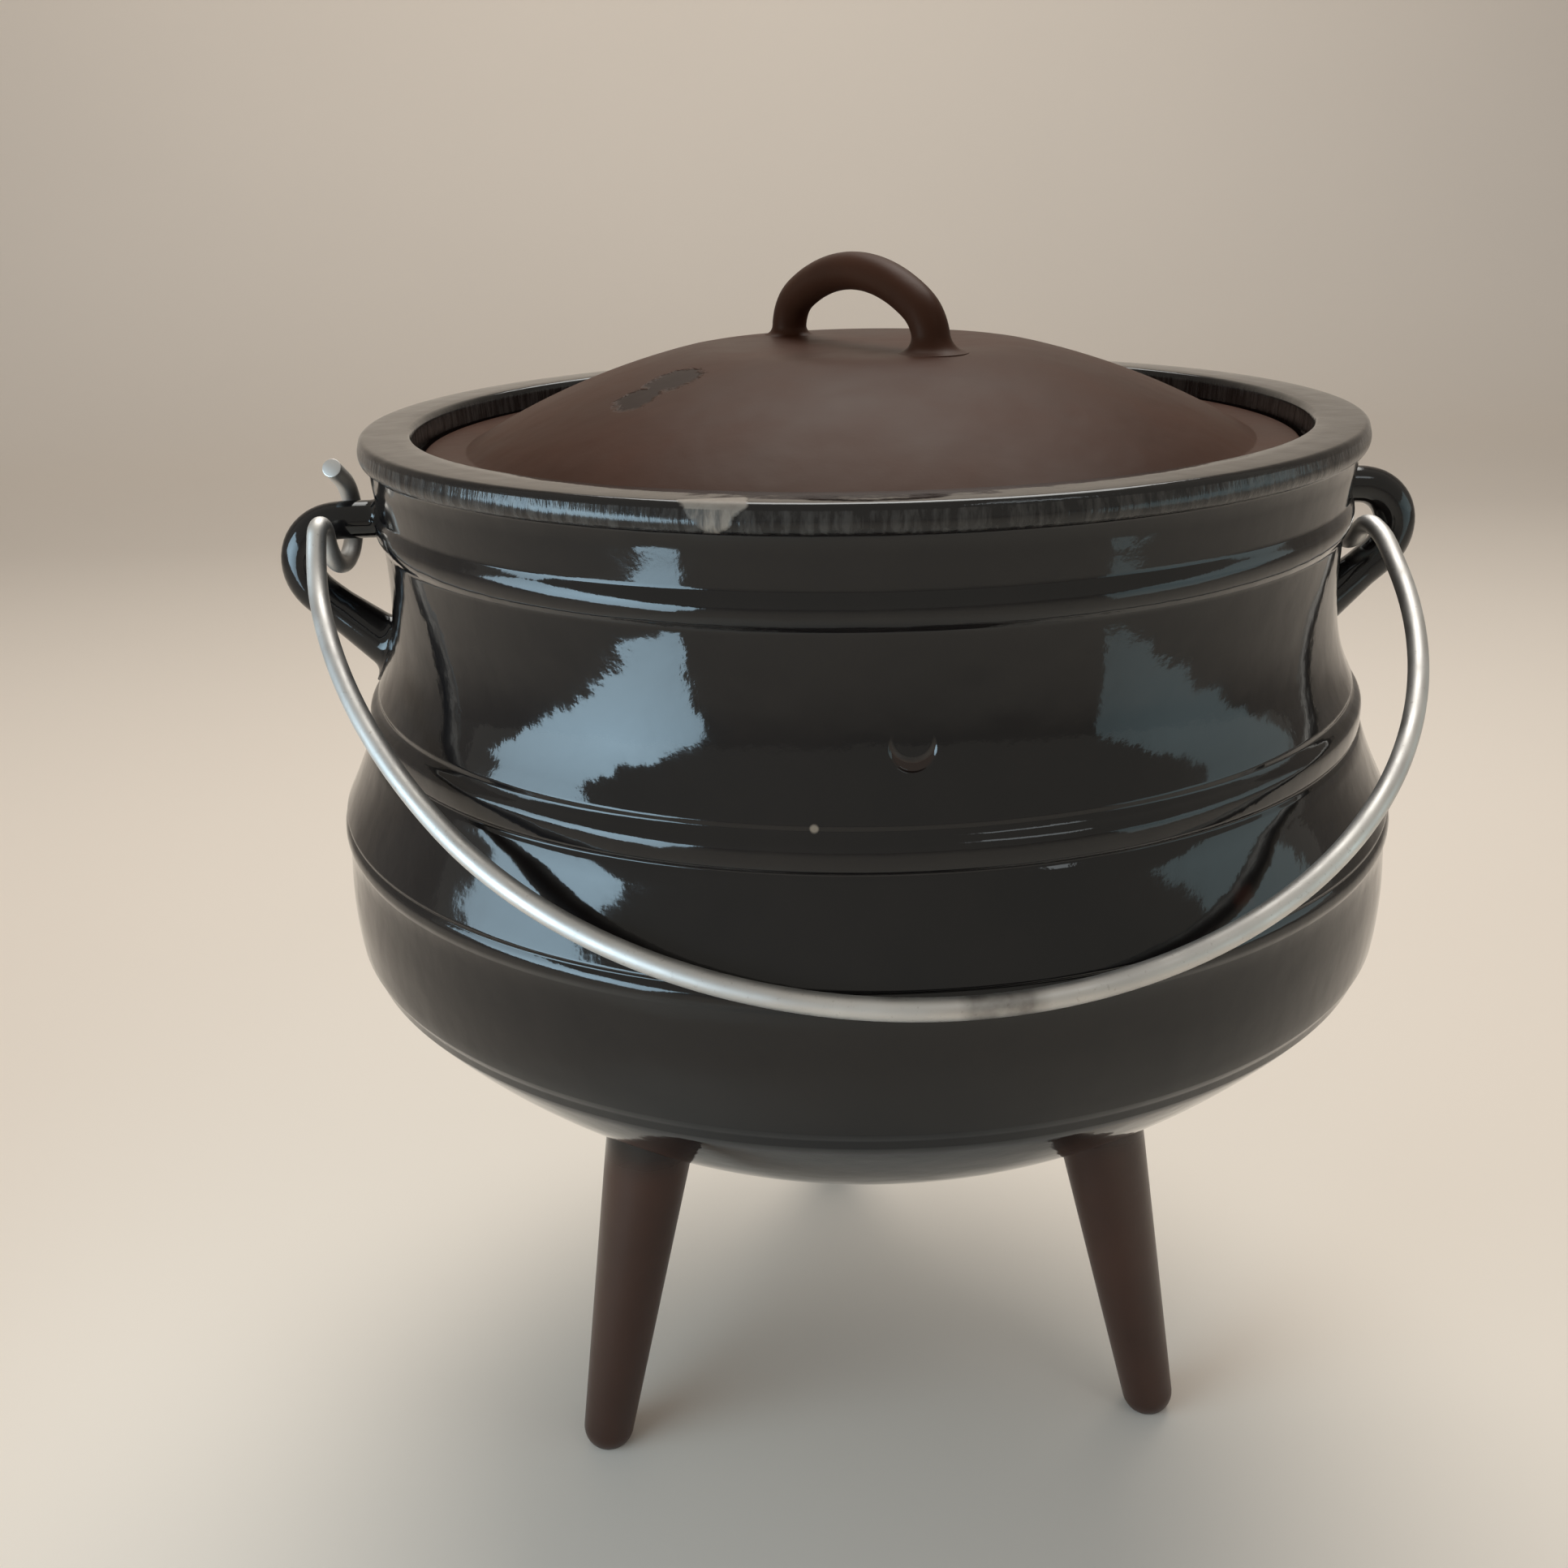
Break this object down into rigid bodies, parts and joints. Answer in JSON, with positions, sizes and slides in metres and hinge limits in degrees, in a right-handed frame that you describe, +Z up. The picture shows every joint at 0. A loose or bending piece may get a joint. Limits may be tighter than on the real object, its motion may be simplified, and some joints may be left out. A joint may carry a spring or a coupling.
{
  "type": "three-legged cooking pot",
  "caption": "Rounded cast iron cooking pot on splayed legs, with a banded belly, a domed loose lid with a loop handle, and a wire bail hooked in cast side ears.",
  "frame": {"origin": "on the floor under the middle of the whole object's outline box, so the axis of the pot's round body stands 2.8 mm behind it", "axes": "+Z up along the axis of the pot's body, -Y to the front between two legs where the bail rests, X along the line through both ears, which is the bail's hinge line"},
  "size_m": [0.3032, 0.2854, 0.3263],
  "materials": {
    "black_iron": "cast iron under a glossy black lacquer with a fine uneven skin",
    "steel_wire": "drawn steel wire, satin grey"
  },
  "bodies": {
    "pot": {"pot": "black_iron", "lid": "black_iron"},
    "bail": {"bail": "steel_wire"}
  },
  "joints": [
    {"name": "bail_swing", "type": "hinge", "parent": "pot", "child": "bail", "pos_m": [0, 0.00276, 0.2634], "axis": [-1, 0, 0], "range_deg": [0, 234]}
  ]
}
